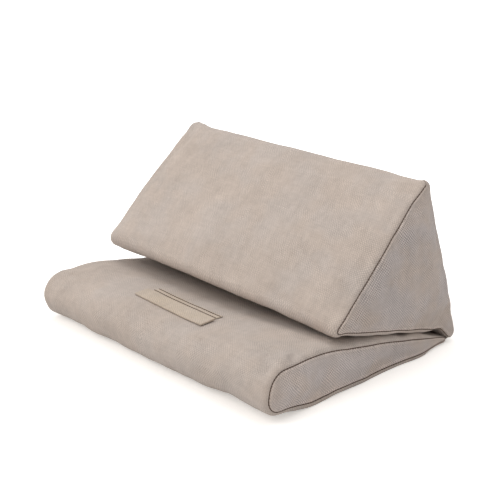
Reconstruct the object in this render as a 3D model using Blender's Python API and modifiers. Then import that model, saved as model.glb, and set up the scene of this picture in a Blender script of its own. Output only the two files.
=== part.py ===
"""Tablet cushion stand: a canvas-covered foam wedge on a teardrop cushion, hinged along the rear.

Metres, +Z up. The cushions lie across X, the nose of the base points along -Y, and the origin is on
the floor under the middle of the stand. Both cushions are one section, in the Y-Z plane, carried
across the width: a belt of straight runs and arcs around a few corner circles. The canvas strip
swells away from that section between the side seams, and rolls down to it at each seam.
"""

from math import atan2, ceil, cos, pi, radians, sin, tau

import bmesh
import bpy
from mathutils import Vector

# Overall size and cloth
WIDTH = 0.327             # between the side seams
DEPTH = 0.250             # front of the nose to the rear of the heel
CANVAS = 0.001            # thickness of the canvas
SEAM_GAP = 0.0003         # clearance between sewn or touching pieces
CORE_GAP = 0.0006         # clearance between a filling and its canvas
GUSSET_DOME = 0.003       # how far a side panel bellies out
SIDE_ROLL = 0.0042        # radius with which a strip rolls over to its side seam
PINCH = 0.0006            # what is left of that swell at the hinge
PINCH_LENGTH = 0.045      # how far from the hinge the swell is full again
TAIL_GAP = 0.0009         # between the tail of the base and the heel of the wedge
CROWN = 0.002             # extra swell in the middle of the width

# Base cushion, a teardrop section
NOSE_RADIUS = 0.0175      # round front of the base
NOSE_LIFT = 0.007         # side seam above the floor under the nose
TAIL_RADIUS = 0.0016      # folded rear edge
TAIL_LIFT = 0.0064        # side seam above the floor under the tail
BELLY = 0.005             # rise of the top over a straight line
SAG = 0.0045              # fall of the underside below a straight line
FILL_SHORT = 0.018        # filling ends before the tail

# Wedge cushion, a triangle with a heel that reaches down behind the base
UNDERSIDE_LENGTH = 0.1406
FRONT_LENGTH = 0.1415     # between the centres of the toe and ridge arcs
TOE_ANGLE = radians(58.7)
OPEN_ANGLE = radians(6.7)  # underside of the wedge over the top of the base
TOE_RADIUS = 0.005
RIDGE_RADIUS = 0.006
HEEL_RADIUS = 0.0065
HEEL_LIFT = 0.0065        # seam of the heel above the floor
TUCK_RADIUS = 0.003       # inner fold over the hinge
TUCK_FORWARD = 0.006      # tuck in front of the tail
TUCK_RISE = 0.0125        # tuck above the tail

# Ledge that stops the tablet, and the hinge cloth
LEDGE_WIDTH = 0.100
LEDGE_DEPTH = 0.0125      # of the stiff board
LEDGE_REAR = 0.0235       # rear edge of the board behind the centre of the nose
LEDGE_TILT = radians(5)   # rear edge higher than the front one
LEDGE_BOARD = 0.0012
LEDGE_FLAP = 0.014        # cloth sewn down behind the board
LEDGE_HEM = 0.002         # board short of the sleeve at each end
HINGE_LAP = 0.020         # hinge cloth sewn under the base
HINGE_RISE = 0.022        # and up the back of the wedge
HINGE_INSET = 0.006       # hinge cloth short of each side seam

# Fineness of the meshes
ARC_STEP = radians(24)
RUN_STEPS = 6
ROLL_STEPS = 3
SPAN_STEPS = 6
HEEL_STEPS = 8
LOOP_STEPS = 8
DOME_SCALES = (0.12, 0.4, 0.66, 0.86)

CORE_INSET = CANVAS + CORE_GAP
HALF = WIDTH / 2

SAND = (0.49, 0.41, 0.35)
SHADE = (0.35, 0.29, 0.25)
FOAM = (0.78, 0.74, 0.62)
BOARD = (0.20, 0.19, 0.18)


def yz(y, z):
    """A point or direction of the section."""
    return Vector((y, z))


def turned(angle):
    """The unit direction at an angle from +Y."""
    return yz(cos(angle), sin(angle))


def smooth(share):
    """0 to 1 with level ends."""
    share = min(max(share, 0.0), 1.0)
    return share * share * (3 - 2 * share)


def run_normal(start, end):
    """Outward normal of the straight run that touches two corner circles, walked anticlockwise."""
    (centre, radius), (next_centre, next_radius) = start, end
    across = next_centre - centre
    lean = (radius - next_radius) / across.length
    along = across.normalized()
    return along * lean + yz(along.y, -along.x) * (1 - lean * lean) ** 0.5


def belt(corners, bows):
    """Points and outward normals of the belt round the corners: pairs of centre and radius.

    A negative radius is a fold that bends inwards. Each run may bow outwards by its own amount.
    """
    ring = []
    for index, (centre, radius) in enumerate(corners):
        following = corners[(index + 1) % len(corners)]
        before = run_normal(corners[index - 1], corners[index])
        after = run_normal(corners[index], following)
        first = atan2(before.y, before.x)
        turn = (atan2(after.y, after.x) - first) % tau
        if radius < 0:
            turn -= tau
        steps = ceil(abs(turn) / ARC_STEP)
        for step in range(steps + 1):
            normal = turned(first + turn * step / steps)
            ring.append((centre + normal * radius, normal))
        start, end = centre + after * radius, following[0] + after * following[1]
        for step in range(1, RUN_STEPS):
            share = step / RUN_STEPS
            ring.append((start.lerp(end, share) + after * bows[index] * sin(pi * share), after))
    return ring


# Base section: the nose and the tail
NOSE = yz(-DEPTH / 2 + NOSE_RADIUS + SIDE_ROLL + CROWN, NOSE_LIFT + NOSE_RADIUS)
TAIL_Z = TAIL_LIFT + TAIL_RADIUS
TAIL_REACH = HEEL_RADIUS + TAIL_RADIUS + 2 * PINCH + TAIL_GAP
HEEL_SHARE = smooth((TAIL_REACH + HEEL_RADIUS) / PINCH_LENGTH)
HEEL_SWELL = PINCH + (SIDE_ROLL - PINCH + CROWN) * HEEL_SHARE
HEEL = yz(DEPTH / 2 - CANVAS - SEAM_GAP - HEEL_SWELL - HEEL_RADIUS, HEEL_LIFT + HEEL_RADIUS)
TAIL = yz(HEEL.x - (TAIL_REACH ** 2 - (HEEL.y - TAIL_Z) ** 2) ** 0.5, TAIL_Z)
BASE_RING = belt([(NOSE, NOSE_RADIUS), (TAIL, TAIL_RADIUS)], [SAG, BELLY])

# Filling of the base: the same section, short of the folded tail
FILL_SHARE = 1 - FILL_SHORT / (TAIL - NOSE).length
FILL_TAIL = (NOSE.lerp(TAIL, FILL_SHARE), NOSE_RADIUS + (TAIL_RADIUS - NOSE_RADIUS) * FILL_SHARE)
FILL_RING = belt([(NOSE, NOSE_RADIUS), FILL_TAIL], [SAG * FILL_SHARE, BELLY * FILL_SHARE])

# Wedge section: toe, tuck, heel and ridge, hung from the tail
TOP_SLOPE = atan2(NOSE.y + NOSE_RADIUS - TAIL.y - TAIL_RADIUS, TAIL.x - NOSE.x)
TILT = TOP_SLOPE + OPEN_ANGLE
TUCK_POINT = TAIL + yz(-TUCK_FORWARD, TUCK_RISE)
UNDER_NORMAL = turned(-pi / 2 - TILT)
TUCK = TUCK_POINT + UNDER_NORMAL * TUCK_RADIUS
TOE = TUCK_POINT + turned(pi - TILT) * UNDERSIDE_LENGTH - UNDER_NORMAL * TOE_RADIUS
RIDGE = TOE + turned(TOE_ANGLE - TILT) * FRONT_LENGTH
WEDGE_RING = belt([(TOE, TOE_RADIUS), (TUCK, -TUCK_RADIUS), (HEEL, HEEL_RADIUS), (RIDGE, RIDGE_RADIUS)],
                  [0, 0, 0, 0])

# Foam of the wedge: the same triangle, without the heel
FOAM_HEEL_RADIUS = HEEL_RADIUS + 2 * CANVAS
FOAM_HEEL = TUCK_POINT - UNDER_NORMAL * FOAM_HEEL_RADIUS
FOAM_RING = belt([(TOE, TOE_RADIUS), (FOAM_HEEL, FOAM_HEEL_RADIUS), (RIDGE, RIDGE_RADIUS)], [0, 0, 0])


def fullness(point):
    """Share of the full swell at a point of the section: none at the hinge."""
    return smooth((point - TAIL).length / PINCH_LENGTH)


def swell(point):
    """How far the strip stands off the section beside a seam."""
    return PINCH + (SIDE_ROLL - PINCH) * fullness(point)


def wedge_crown(normal):
    """Extra swell of the wedge in mid-width: full on the front, ridge and back, none underneath."""
    return CROWN * min(1.0, 1.0 + normal.y)


def base_crown(normal):
    """Extra swell of the base in mid-width: on the nose alone."""
    return CROWN * max(0.0, -normal.x)


def stations():
    """Pairs of roll angle and place across the width, from the left seam to the right one.

    The angle is a quarter turn at a seam and 0 from the end of the roll to the other one.
    """
    flat = HALF - SIDE_ROLL
    rolls = [pi / 2 * (1 - step / ROLL_STEPS) for step in range(ROLL_STEPS)]
    spans = [-flat + 2 * flat * step / SPAN_STEPS for step in range(SPAN_STEPS + 1)]
    return ([(angle, -flat) for angle in rolls] + [(0.0, x) for x in spans]
            + [(angle, flat) for angle in reversed(rolls)])


def strip_rings(ring, crown, inset):
    """One ring of points for each station, standing in from the outer face by the inset."""
    flat = HALF - SIDE_ROLL
    rings = []
    for angle, x in stations():
        across = x + (1 if x > 0 else -1) * (SIDE_ROLL - inset) * sin(angle)
        middle = cos(pi / 2 * x / flat)
        points = []
        for point, normal in ring:
            off = (swell(point) - inset) * cos(angle) + crown(normal) * middle * fullness(point)
            place = point + normal * off
            points.append((across, place.x, max(place.y, inset)))
        rings.append(points)
    return rings


def loft(name, rings, ends="open"):
    """An object whose faces join each closed ring of points to the next.

    Its ends stay open, are capped, or are joined: the last ring then meets the first one.
    """
    count = len(rings[0])
    rows = len(rings) if ends == "joined" else len(rings) - 1
    faces = []
    for row in range(rows):
        beyond = (row + 1) % len(rings)
        for step in range(count):
            beside = (step + 1) % count
            faces.append((row * count + step, row * count + beside,
                          beyond * count + beside, beyond * count + step))
    if ends == "capped":
        faces.append(tuple(reversed(range(count))))
        faces.append(tuple(range((len(rings) - 1) * count, len(rings) * count)))
    mesh = bpy.data.meshes.new(name)
    mesh.from_pydata([point for ring in rings for point in ring], [], faces)
    return finished(name, mesh)


def finished(name, mesh):
    """An object in the stand's collection with its faces turned outwards and shaded smooth."""
    shape = bmesh.new()
    shape.from_mesh(mesh)
    bmesh.ops.recalc_face_normals(shape, faces=shape.faces)
    shape.to_mesh(mesh)
    shape.free()
    mesh.shade_smooth()
    mesh.set_sharp_from_angle(angle=radians(40))
    piece = bpy.data.objects.new(name, mesh)
    STAND.objects.link(piece)
    return piece


def coloured(piece, name, colour, roughness):
    """Give a piece its material, shared by name."""
    material = bpy.data.materials.get(name) or bpy.data.materials.new(name)
    material.use_nodes = True
    surface = material.node_tree.nodes["Principled BSDF"]
    surface.inputs["Base Color"].default_value = (*colour, 1)
    surface.inputs["Roughness"].default_value = roughness
    surface.inputs["Metallic"].default_value = 0
    piece.data.materials.append(material)
    return piece


def wrap(name, ring, crown):
    """A canvas strip that runs all round a cushion, from one side seam to the other."""
    outside = strip_rings(ring, crown, 0.0)
    inside = strip_rings(ring, crown, CANVAS)
    tube = loft(name, outside + inside[::-1], ends="joined")
    return coloured(tube, "canvas", SAND, 0.9)


def core(name, ring, crown, colour_name):
    """What fills a cushion, just clear of its canvas all round."""
    block = loft(name, strip_rings(ring, crown, CORE_INSET), ends="capped")
    return coloured(block, colour_name, FOAM, 0.95)


def gusset(name, ring, side):
    """A side panel: the section's outline inside the seam, bellied outwards towards its middle."""
    centre = sum((point for point, _ in ring), yz(0, 0)) / len(ring)
    edge = [point - normal * SEAM_GAP for point, normal in ring]
    outside, inside = [], []
    for scale in (*DOME_SCALES, 1.0):
        across = HALF + GUSSET_DOME * (1 - scale * scale) ** 2
        outline = [centre + (point - centre) * scale for point in edge]
        outside.append([(side * across, *point) for point in outline])
        inside.append([(side * (across - CANVAS), *point) for point in outline])
    return coloured(loft(name, outside + inside[::-1], ends="capped"), "canvas_side", SHADE, 0.9)


def walled(path, thickness):
    """The closed outline of a cloth strip, from the path of its left side in the direction of travel."""
    wall = []
    for index, point in enumerate(path):
        ahead = (path[min(index + 1, len(path) - 1)] - point).normalized()
        behind = (point - path[max(index - 1, 0)]).normalized()
        along = (ahead + behind).normalized()
        lean = max(along.dot(ahead), along.dot(behind))
        wall.append(point + yz(along.y, -along.x) * (thickness / lean))
    return list(path) + wall[::-1]


def ribbon(name, outlines, colour_name, colour):
    """A cloth strip across the stand, from pairs of a place across and its outline there."""
    rings = [[(across, point.x, point.y) for point in outline] for across, outline in outlines]
    return coloured(loft(name, rings, ends="capped"), colour_name, colour, 0.9)


def surface_height(y, upper):
    """Height of the base's outer face beside mid-width, on its top or its underside."""
    faces = [point + normal * swell(point) for point, normal in BASE_RING if (normal.y > 0) == upper]
    faces.sort(key=lambda point: point.x)
    for near, far in zip(faces, faces[1:]):
        if near.x <= y <= far.x:
            return max(near.y + (far.y - near.y) * (y - near.x) / (far.x - near.x), 0.0)
    raise ValueError("outside the base")


def hinge_outline(across):
    """The hinge cloth: down the back of the wedge, round its heel and forward under the base."""
    middle = cos(pi / 2 * across / (HALF - SIDE_ROLL))
    back = run_normal((HEEL, HEEL_RADIUS), (RIDGE, RIDGE_RADIUS))
    turn = atan2(back.y, back.x) + pi / 2
    path = []
    for step in range(HEEL_STEPS + 1):
        normal = turned(-pi / 2 + turn * step / HEEL_STEPS)
        point = HEEL + normal * HEEL_RADIUS
        off = swell(point) + wedge_crown(normal) * middle * fullness(point) + SEAM_GAP
        path.append(point + normal * off)
    up = HEEL + back * HEEL_RADIUS + yz(-back.y, back.x) * HINGE_RISE
    path.append(up + back * (swell(up) + wedge_crown(back) * middle * fullness(up) + SEAM_GAP))
    lap = TAIL.x - HINGE_LAP
    path.insert(0, yz(lap, surface_height(lap, upper=False) - SEAM_GAP))
    return walled(path, CANVAS)


def ledge_outline():
    """The ledge's canvas: sewn down behind, forward under the board, round it and back over it."""
    loop = LEDGE_BOARD / 2 + SEAM_GAP
    path = [yz(LEDGE_REAR_Y + LEDGE_FLAP * share, 0) for share in (1, 0.6, 0.2)]
    path = [yz(point.x, surface_height(point.x, upper=True) + SEAM_GAP + CANVAS) for point in path]
    path.append(on_board(0, -loop))
    for step in range(LOOP_STEPS + 1):
        around = turned(-pi / 2 - pi * step / LOOP_STEPS) * loop
        path.append(on_board(-LEDGE_DEPTH + around.x, around.y))
    for step in range(LOOP_STEPS // 2 + 1):
        around = turned(pi / 2 - pi * step / LOOP_STEPS) * loop
        path.append(on_board(around.x, around.y))
    return walled(path[::-1], CANVAS)


def on_board(forward, up):
    """A point of the section beside the board: forward is 0 at its rear edge, up is 0 at its middle."""
    return LEDGE_FRONT + turned(LEDGE_TILT) * (forward + LEDGE_DEPTH) + turned(LEDGE_TILT + pi / 2) * up


def ledge_board():
    """The stiff board in the ledge."""
    bpy.ops.mesh.primitive_cube_add(size=1)
    board = bpy.context.object
    board.name = board.data.name = "ledge_board"
    for holder in list(board.users_collection):
        holder.objects.unlink(board)
    STAND.objects.link(board)
    middle = on_board(-LEDGE_DEPTH / 2, 0)
    board.scale = (LEDGE_WIDTH - 2 * LEDGE_HEM, LEDGE_DEPTH, LEDGE_BOARD)
    bpy.ops.object.transform_apply(location=False, rotation=False, scale=True)
    board.location = (0, middle.x, middle.y)
    board.rotation_euler = (LEDGE_TILT, 0, 0)
    edges = board.modifiers.new("Edges", "BEVEL")
    edges.width = LEDGE_BOARD / 4
    edges.segments = 2
    return coloured(board, "board", BOARD, 0.6)


bpy.ops.object.select_all(action="DESELECT")
for leftover in list(bpy.data.objects):
    bpy.data.objects.remove(leftover)
STAND = bpy.data.collections.new("tablet_cushion_stand")
bpy.context.scene.collection.children.link(STAND)

# Place of the ledge's board on top of the base
LEDGE_REAR_Y = NOSE.x + LEDGE_REAR
LEDGE_FRONT_Y = LEDGE_REAR_Y - LEDGE_DEPTH
LEDGE_STAND = LEDGE_BOARD / 2 + CANVAS + 2 * SEAM_GAP
LEDGE_FRONT = yz(LEDGE_FRONT_Y, surface_height(LEDGE_FRONT_Y, upper=True) + LEDGE_STAND)

wrap("wedge_wrap", WEDGE_RING, wedge_crown)
core("wedge_foam", FOAM_RING, wedge_crown, "foam")
wrap("base_wrap", BASE_RING, base_crown)
core("base_fill", FILL_RING, base_crown, "filling")
for label, side in (("left", -1), ("right", 1)):
    gusset(f"wedge_gusset_{label}", WEDGE_RING, side)
    gusset(f"base_gusset_{label}", BASE_RING, side)

hinge_half = HALF - HINGE_INSET
hinge_places = [-hinge_half + 2 * hinge_half * step / SPAN_STEPS for step in range(SPAN_STEPS + 1)]
ribbon("hinge_cloth", [(across, hinge_outline(across)) for across in hinge_places], "canvas", SAND)
ribbon("ledge_sleeve", [(across, ledge_outline()) for across in (-LEDGE_WIDTH / 2, LEDGE_WIDTH / 2)],
       "canvas", SAND)
ledge_board()
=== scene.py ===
"""The looks of the tablet cushion stand: canvas cushions, their seams, the ledge and the cloth hinge.

Metres, +Z up, in the frame of the solids. The cushions lie across X, and the nose of the base points
along -Y. A cushion is a strip of canvas round a section in the Y-Z plane, with a panel sewn in at each
end. The two ends have slightly different sections, as stuffed cloth does.
"""

from __future__ import annotations

import logging
from dataclasses import astuple, dataclass, field, replace
from enum import Enum
from math import atan2, ceil, cos, exp, pi, prod, radians, sin, tan, tau
from typing import Callable, Sequence

import bmesh
import bpy
from mathutils import Matrix, Vector, geometry, kdtree, noise

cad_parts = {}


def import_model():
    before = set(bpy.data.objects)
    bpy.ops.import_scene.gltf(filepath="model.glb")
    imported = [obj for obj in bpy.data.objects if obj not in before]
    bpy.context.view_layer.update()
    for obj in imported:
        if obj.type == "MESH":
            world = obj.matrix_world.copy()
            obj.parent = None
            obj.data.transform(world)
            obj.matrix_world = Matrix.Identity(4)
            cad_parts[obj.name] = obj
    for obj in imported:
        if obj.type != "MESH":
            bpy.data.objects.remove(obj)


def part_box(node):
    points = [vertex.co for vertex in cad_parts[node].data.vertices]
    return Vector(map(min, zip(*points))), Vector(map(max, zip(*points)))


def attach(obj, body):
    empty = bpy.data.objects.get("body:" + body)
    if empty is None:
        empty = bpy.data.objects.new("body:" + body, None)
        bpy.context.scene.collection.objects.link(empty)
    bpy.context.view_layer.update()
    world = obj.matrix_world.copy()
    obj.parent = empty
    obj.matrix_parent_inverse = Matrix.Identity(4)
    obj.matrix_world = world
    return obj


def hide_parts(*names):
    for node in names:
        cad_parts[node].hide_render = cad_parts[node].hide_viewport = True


LOG = logging.getLogger("tablet_cushion_stand")
BODY = "root"
CLOTH_MAP = "cloth"
WEAR = "wear"


class Side(Enum):
    """An end of the stand, by the sign of X there."""

    LEFT = -1
    RIGHT = 1


def smooth(share: float) -> float:
    """Turn a share into one that starts and ends level, from 0 to 1."""
    share = min(max(share, 0.0), 1.0)
    return share * share * (3 - 2 * share)


def mixed(first: float, second: float, share: float) -> float:
    """Mix two numbers: the first at 0 and the second at 1."""
    return first + (second - first) * share


def turned(angle: float) -> Vector:
    """Give the unit direction of a section at an angle from +Y."""
    return Vector((cos(angle), sin(angle)))


class Signal:
    """A shader socket that carries a number, with the arithmetic of one."""

    def __init__(self, surface: Surface, socket: bpy.types.NodeSocket) -> None:
        """Wrap a socket of a surface."""
        self.surface = surface
        self.socket = socket

    def _math(self, operation: str, *values: Signal | float) -> Signal:
        """Add a Math node over the given values."""
        return self.surface.node("ShaderNodeMath", {"operation": operation}, dict(enumerate(values)))

    def __add__(self, other: Signal | float) -> Signal:
        """Add."""
        return self._math("ADD", self, other)

    __radd__ = __add__

    def __sub__(self, other: Signal | float) -> Signal:
        """Subtract."""
        return self._math("SUBTRACT", self, other)

    def __rsub__(self, other: float) -> Signal:
        """Subtract this from a number."""
        return self._math("SUBTRACT", other, self)

    def __mul__(self, other: Signal | float) -> Signal:
        """Multiply."""
        return self._math("MULTIPLY", self, other)

    __rmul__ = __mul__

    def __truediv__(self, other: Signal | float) -> Signal:
        """Divide."""
        return self._math("DIVIDE", self, other)

    def __abs__(self) -> Signal:
        """Drop the sign."""
        return self._math("ABSOLUTE", self)

    def sine(self) -> Signal:
        """Take the sine of an angle in radians."""
        return self._math("SINE", self)

    def larger(self, other: Signal | float) -> Signal:
        """Keep the larger of two."""
        return self._math("MAXIMUM", self, other)

    def within(self, low: float, high: float) -> Signal:
        """Spread the range from low to high over 0 to 1, with level ends."""
        settings = {"interpolation_type": "SMOOTHSTEP"}
        return self.surface.node("ShaderNodeMapRange", settings, {"Value": self, 1: low, 2: high})


class Surface:
    """The shader of one finish, on a Principled BSDF."""

    def __init__(self, name: str, roughness: float) -> None:
        """Start a material with a plain rough surface."""
        self.material = bpy.data.materials.new(name)
        self.material.use_nodes = True
        self.tree = self.material.node_tree
        self.shader = self.tree.nodes["Principled BSDF"]
        self.shader.inputs["Roughness"].default_value = roughness

    def node(self, kind: str, settings: dict[str, object], values: dict, output: int | str = 0) -> Signal:
        """Add a node.

        Args:
            kind: The node's type.
            settings: Its properties, which are set first.
            values: Its sockets' values or links, by name or number.
            output: Which of its outputs is wanted.

        Returns:
            That output.
        """
        made = self.tree.nodes.new(kind)
        for name, value in settings.items():
            setattr(made, name, value)
        for key, value in values.items():
            if isinstance(value, Signal):
                self.tree.links.new(value.socket, made.inputs[key])
            else:
                made.inputs[key].default_value = value
        return Signal(self, made.outputs[output])

    def feed(self, socket: str, signal: Signal) -> None:
        """Link a signal to a socket of the shader."""
        self.tree.links.new(signal.socket, self.shader.inputs[socket])

    def noise(self, place: Signal, scale: float, detail: float, rough: float = 0.5) -> Signal:
        """Give cloudy noise at a place, from 0 to 1."""
        values = {"Vector": place, "Scale": scale, "Detail": detail, "Roughness": rough}
        return self.node("ShaderNodeTexNoise", {}, values)

    def stretched(self, place: Signal, across: float, along: float) -> Signal:
        """Scale a place by different amounts across and along."""
        return self.node("ShaderNodeVectorMath", {"operation": "MULTIPLY"}, {0: place, 1: (across, along, 1)})

    def blend(self, share: Signal, first: tuple[float, ...], second: tuple[float, ...]) -> Signal:
        """Mix two colours by a share."""
        return self.node("ShaderNodeMix", {"data_type": "RGBA"}, {0: share, 6: first, 7: second}, 2)

    def tinted(self, colour: Signal, level: Signal) -> Signal:
        """Scale a colour by a level that is about 1."""
        return self.node("ShaderNodeVectorMath", {"operation": "SCALE"}, {0: colour, "Scale": level})


@dataclass(frozen=True)
class Canvas:
    """Stone-washed cotton canvas: woven threads, cloudy washing, edges worn pale, and painted shade in and
    across the weave.
    """

    name: str
    colour: tuple[float, float, float]
    greyed: tuple[float, float, float]  # where the washing took the warmth out
    pitch: float = 0.00125         # between threads
    wash: float = 0.085            # how much the washing lightens and darkens it
    mottle: float = 0.11           # the same over a few threads
    yarn: float = 0.16             # the same from one thread to the next
    weave_shade: float = 0.17            # painted shade: how much darker the cells where the weft lies on top are painted than those where the warp does
    relief: float = 0.00020        # height of the threads

    def material(self) -> bpy.types.Material:
        """Make the finish.

        Returns:
            The material, which reads the cloth map in metres and the wear attribute.
        """
        surface = Surface(self.name, 0.93)
        cloth = surface.node("ShaderNodeUVMap", {"uv_map": CLOTH_MAP}, {})
        place = surface.node("ShaderNodeTexCoord", {}, {}, "Object")
        height, over, slubs = self.threads(surface, cloth)
        clouds = surface.noise(place, 16, 4, 0.6) - 0.5
        streaks = surface.noise(surface.stretched(cloth, 60, 14), 1, 4, 0.6) - 0.5
        mottling = surface.noise(place, 150, 4, 0.65) - 0.5
        plain = surface.noise(place, 45, 3).within(0.35, 0.65)
        # washing, mottling and yarn are the cloth's own tone; the weave term is painted shade of the threads
        level = (1.0 + clouds * self.wash * 4 + streaks * self.wash * 2 + mottling * self.mottle * 3
                 + slubs * self.yarn + over * (1.35 - plain) * self.weave_shade)
        worn = surface.node("ShaderNodeAttribute", {"attribute_name": WEAR}, {}, "Fac")
        patchy = worn * surface.noise(place, 260, 4, 0.7).within(0.3, 0.75)
        # wear patches are paler; the hollows between the threads get painted shade, up to 22 % darker
        level = level + patchy * 0.40 - (1 - height.within(0.0, 0.45)) * 0.22
        greyness = surface.noise(place, 19, 3, 0.6).within(0.40, 0.62) * (1 - worn * 0.8)
        colour = surface.blend(greyness, (*self.colour, 1), (*self.greyed, 1))
        surface.feed("Base Color", surface.tinted(colour, level))
        bump = {"Height": height + slubs * 0.5, "Distance": self.relief, "Strength": 1.0}
        surface.feed("Normal", surface.node("ShaderNodeBump", {}, bump))
        surface.shader.inputs["Sheen Weight"].default_value = 0.12
        surface.shader.inputs["Sheen Roughness"].default_value = 0.6
        surface.shader.inputs["Specular IOR Level"].default_value = 0.25
        return surface.material

    def threads(self, surface: Surface, cloth: Signal) -> tuple[Signal, Signal, Signal]:
        """Lay the threads.

        Args:
            surface: The shader that they belong to.
            cloth: The place on the flat cloth, in metres.

        Returns:
            Their height from 0 to 1, which one is on top, and the unevenness of the yarn, both about 0.
        """
        split = surface.node("ShaderNodeSeparateXYZ", {}, {0: cloth})
        across, along = split, Signal(surface, split.socket.node.outputs[1])
        sway = surface.noise(cloth, 75, 2) - 0.5
        drift = surface.noise(cloth, 90, 2) - 0.5
        warp = ((across / self.pitch + sway * 3.2) * pi).sine()
        weft = ((along / self.pitch + drift * 3.2) * pi).sine()
        over = warp * weft
        height = (abs(warp) * (0.68 + over * 0.42)).larger(abs(weft) * (0.68 - over * 0.42))
        fine = 1 / self.pitch
        warp_slub = surface.noise(surface.stretched(cloth, fine, 40), 1, 1) - 0.5
        weft_slub = surface.noise(surface.stretched(cloth, 40, fine), 1, 1) - 0.5
        return height, over, warp_slub + weft_slub


@dataclass(frozen=True)
class Yarn:
    """Dark brown sewing thread, dull and slightly hairy; laid in the end seams it is also painted shade of
    their grooves.
    """

    name: str
    colour: tuple[float, float, float]

    def material(self) -> bpy.types.Material:
        """Make the finish, uneven along the thread."""
        surface = Surface(self.name, 0.8)
        place = surface.node("ShaderNodeTexCoord", {}, {}, "Object")
        tone = surface.noise(place, 900, 2).within(0.3, 0.7)
        dark = (*(value * 0.7 for value in self.colour), 1)
        pale = (*(value * 1.3 for value in self.colour), 1)
        surface.feed("Base Color", surface.blend(tone, dark, pale))
        return surface.material


@dataclass(frozen=True)
class Corner:
    """A corner circle of a section, and the run of cloth that follows it anticlockwise.

    A negative radius is a fold that bends inwards.
    """

    y: float
    z: float
    radius: float
    bow: float = 0.0

    @property
    def centre(self) -> Vector:
        """Its centre in the section."""
        return Vector((self.y, self.z))

    def towards(self, other: Corner, share: float) -> Corner:
        """Give the corner part of the way to another one."""
        return Corner(*(mixed(mine, its, share) for mine, its in zip(astuple(self), astuple(other))))

    def moved(self, y: float, z: float, grow: float = 0.0, bow: float = 0.0) -> Corner:
        """Give the corner moved, and grown or bowed by so much more."""
        return Corner(self.y + y, self.z + z, self.radius + grow, self.bow + bow)


@dataclass(frozen=True)
class Section:
    """The outline of a cushion, a belt round corner circles, walked anticlockwise."""

    corners: tuple[Corner, ...]

    def towards(self, other: Section, share: float) -> Section:
        """Give the section part of the way to another one."""
        return Section(tuple(mine.towards(its, share) for mine, its in zip(self.corners, other.corners)))

    def run_normal(self, index: int) -> Vector:
        """Give the outward normal of the run after a corner."""
        start, end = self.corners[index], self.corners[(index + 1) % len(self.corners)]
        across = end.centre - start.centre
        lean = (start.radius - end.radius) / across.length
        along = across.normalized()
        return along * lean + Vector((along.y, -along.x)) * (1 - lean * lean) ** 0.5

    def turn(self, index: int) -> tuple[float, float]:
        """Give the angle at which a corner starts and how far it turns."""
        before, after = self.run_normal(index - 1), self.run_normal(index)
        first = atan2(before.y, before.x)
        turn = (atan2(after.y, after.x) - first) % tau
        return first, turn - tau if self.corners[index].radius < 0 else turn

    def steps(self, spacing: float, swell: float) -> list[tuple[int, int]]:
        """Count the steps round each corner and along the run after it.

        Args:
            spacing: The distance wanted between points of the cloth.
            swell: How far the cloth stands off the section.

        Returns:
            A pair of counts for each corner.
        """
        counts = []
        for index, corner in enumerate(self.corners):
            arc = abs(self.turn(index)[1]) * abs(corner.radius + swell)
            run = (self.corners[(index + 1) % len(self.corners)].centre - corner.centre).length
            counts.append((max(ceil(arc / spacing), 5), ceil(run / spacing)))
        return counts

    def ring(self, counts: Sequence[tuple[int, int]]) -> list[tuple[Vector, Vector]]:
        """Walk the outline.

        Args:
            counts: The steps round each corner and along the run after it.

        Returns:
            Points with their outward normals.
        """
        ring = []
        for index, (corner, (arc_steps, run_steps)) in enumerate(zip(self.corners, counts)):
            following = self.corners[(index + 1) % len(self.corners)]
            first, turn = self.turn(index)
            for step in range(arc_steps + 1):
                normal = turned(first + turn * step / arc_steps)
                ring.append((corner.centre + normal * corner.radius, normal))
            after = self.run_normal(index)
            start = corner.centre + after * corner.radius
            end = following.centre + after * following.radius
            for step in range(1, run_steps):
                share = step / run_steps
                rise = after * corner.bow * sin(pi * share)
                ring.append((start.lerp(end, share) + rise, after))
        return ring


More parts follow.
